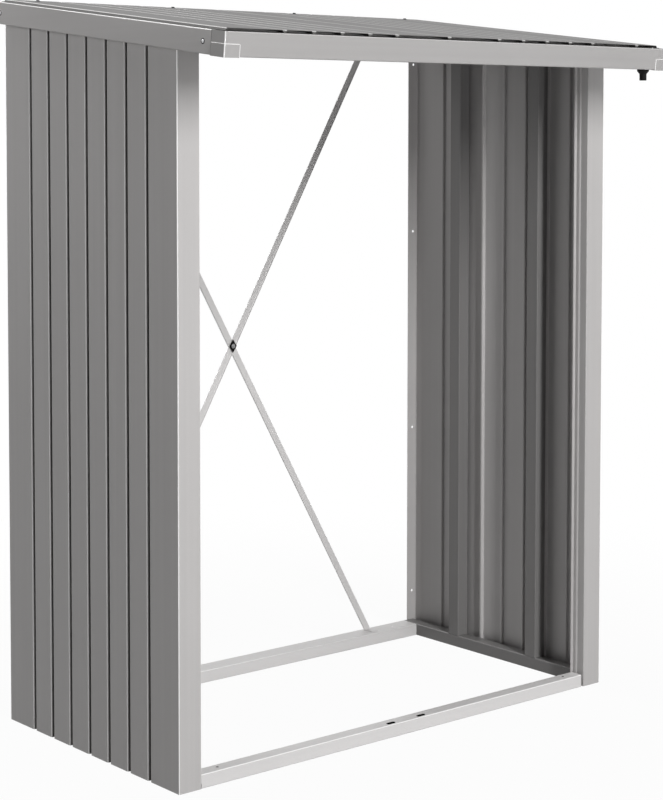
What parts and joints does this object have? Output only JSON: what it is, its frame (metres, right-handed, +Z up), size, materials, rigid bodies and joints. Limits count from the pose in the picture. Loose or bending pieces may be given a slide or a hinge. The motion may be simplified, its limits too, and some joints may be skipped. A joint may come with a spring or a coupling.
{
  "type": "log store",
  "caption": "Open-fronted metal log store with ribbed sheet side walls, a base frame, a crossed back brace and a sloping roof with a front gutter.",
  "frame": {"origin": "middle of the footprint box, on the floor", "axes": "+X to the right seen from the open front, +Y towards the back, +Z up"},
  "size_m": [1.57, 1.02, 1.99],
  "materials": {
    "silver_paint": "fine metallic silver-grey coating",
    "black_plastic": "plain moulded black"
  },
  "bodies": {
    "root": {"base_front_rail": "silver_paint", "base_left_rail": "silver_paint", "base_rear_rail": "silver_paint", "base_right_rail": "silver_paint", "brace_cross_clip": "black_plastic", "brace_strap_falling": "silver_paint", "brace_strap_rising": "silver_paint", "drain_spigot": "black_plastic", "gutter_left_end_cap": "silver_paint", "gutter_right_end_cap": "silver_paint", "left_front_corner_panel": "silver_paint", "left_front_stiffener": "silver_paint", "left_middle_panel": "silver_paint", "left_rear_corner_panel": "silver_paint", "left_rear_stiffener": "silver_paint", "left_wall_head": "silver_paint", "right_front_corner_panel": "silver_paint", "right_front_stiffener": "silver_paint", "right_middle_panel": "silver_paint", "right_rear_corner_panel": "silver_paint", "right_rear_stiffener": "silver_paint", "right_wall_head": "silver_paint", "roof_front_beam": "silver_paint", "roof_gutter": "silver_paint", "roof_left_fascia": "silver_paint", "roof_rear_beam": "silver_paint", "roof_rear_fascia": "silver_paint", "roof_right_fascia": "silver_paint", "roof_sheet_left": "silver_paint", "roof_sheet_right": "silver_paint"}
  },
  "joints": []
}
